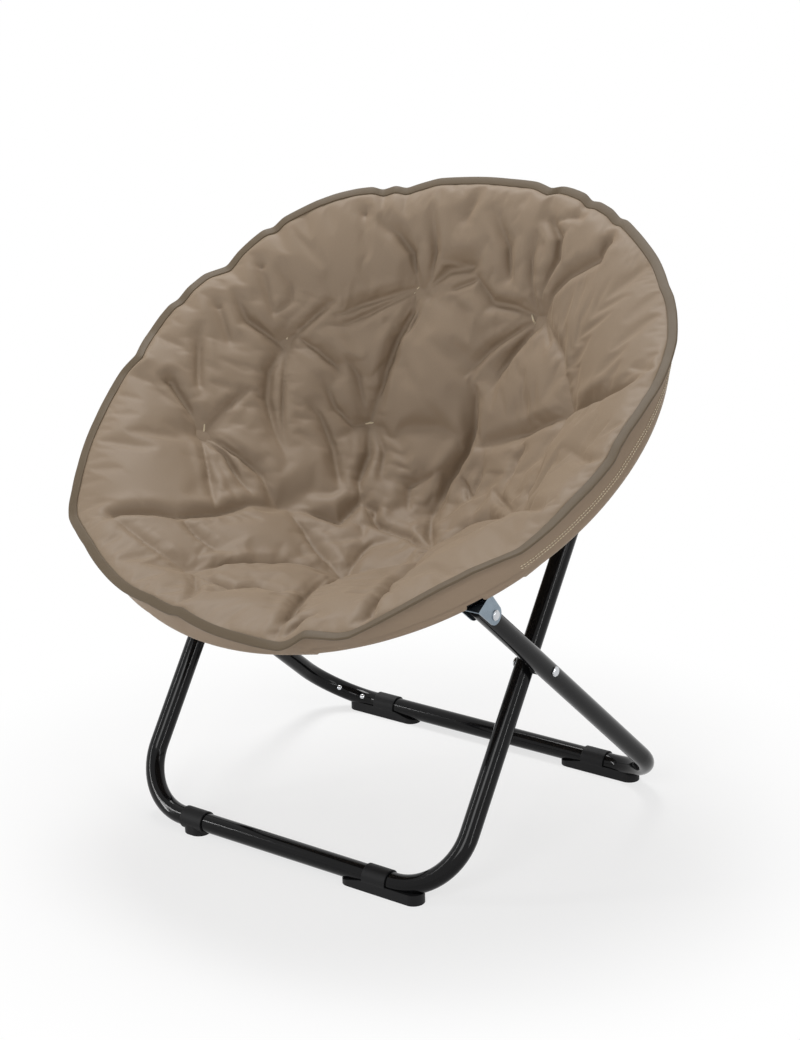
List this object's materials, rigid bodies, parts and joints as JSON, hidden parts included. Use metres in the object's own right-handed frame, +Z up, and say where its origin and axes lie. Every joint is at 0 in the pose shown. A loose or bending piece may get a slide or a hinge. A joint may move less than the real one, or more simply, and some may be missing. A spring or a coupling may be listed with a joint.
{
  "type": "folding saucer chair",
  "caption": "Folding round lounge chair with two crossed U-shaped tube leg frames, a hinged hoop rim and a tufted padded bowl seat with a bound edge.",
  "frame": {"origin": "on the floor, at the middle of the open chair's outline from side to side and from front to back", "axes": "+X to the sitter's left as seen from the front (right in the picture), +Y from the front edge to the back, +Z up"},
  "size_m": [0.7972, 0.6779, 0.7948],
  "materials": {
    "black_tube": "gloss black powder coat",
    "foot_plastic": "fine matte black moulding",
    "black_plastic": "black moulded plastic",
    "zinc_plate": "bluish zinc plate",
    "rivet_steel": "plated steel",
    "pad_fabric": "taupe fine-woven polyester with a soft sheen",
    "sleeve_fabric": "taupe fine-woven polyester, with a pale stitched hem",
    "binding_tape": "ribbed brown binding tape"
  },
  "bodies": {
    "rear_legs": {"rear_leg_frame": "black_tube", "rear_foot_left": "foot_plastic", "rear_foot_right": "foot_plastic", "rear_leg_cap_left": "black_plastic", "rear_leg_cap_right": "black_plastic"},
    "front_legs": {"front_leg_frame": "black_tube", "front_foot_left": "foot_plastic", "front_foot_right": "foot_plastic", "front_leg_cap_left": "black_plastic", "front_leg_cap_right": "black_plastic", "pivot_rivet_left": "rivet_steel", "pivot_rivet_right": "rivet_steel", "pivot_spacer_left": "black_plastic", "pivot_spacer_right": "black_plastic"},
    "front_rim": {"front_rim_tube": "black_tube", "front_bracket_left": "zinc_plate", "front_bracket_right": "zinc_plate", "front_bracket_pin_left": "rivet_steel", "front_bracket_pin_right": "rivet_steel", "front_bracket_rivets": "rivet_steel", "front_hinge_plate_left": "zinc_plate", "front_hinge_plate_right": "zinc_plate", "front_sleeve": "sleeve_fabric", "seat_pad_front": "pad_fabric", "binding_front": "binding_tape"},
    "back_rim": {"back_rim_tube": "black_tube", "back_bracket_left": "zinc_plate", "back_bracket_right": "zinc_plate", "back_bracket_studs_left": "rivet_steel", "back_bracket_studs_right": "rivet_steel", "back_bracket_rivets": "rivet_steel", "back_hinge_fork_left": "zinc_plate", "back_hinge_fork_right": "zinc_plate", "rim_hinge_pin_left": "rivet_steel", "rim_hinge_pin_right": "rivet_steel", "back_sleeve": "sleeve_fabric", "seat_pad_back": "pad_fabric", "binding_back": "binding_tape"}
  },
  "joints": [
    {"name": "leg_fold", "type": "hinge", "parent": "rear_legs", "child": "front_legs", "pos_m": [0, -0.0264, 0.26494], "axis": [1, 0, 0], "range_deg": [0, 67.4]},
    {"name": "front_rim_fold", "type": "hinge", "parent": "rear_legs", "child": "front_rim", "pos_m": [0, -0.15626, 0.37783], "axis": [1, 0, 0], "range_deg": [0, 83.7]},
    {"name": "back_rim_fold", "type": "hinge", "parent": "front_rim", "child": "back_rim", "pos_m": [0, 0.15462, 0.61063], "axis": [-1, 0, 0], "range_deg": [0, 146.9], "deforming": ["seat_pad_front", "seat_pad_back"]}
  ],
  "couplings": [
    {"joint": "front_rim_fold", "follows": "leg_fold", "ratio": 1.2412},
    {"joint": "back_rim_fold", "follows": "leg_fold", "ratio": 2.1789}
  ]
}
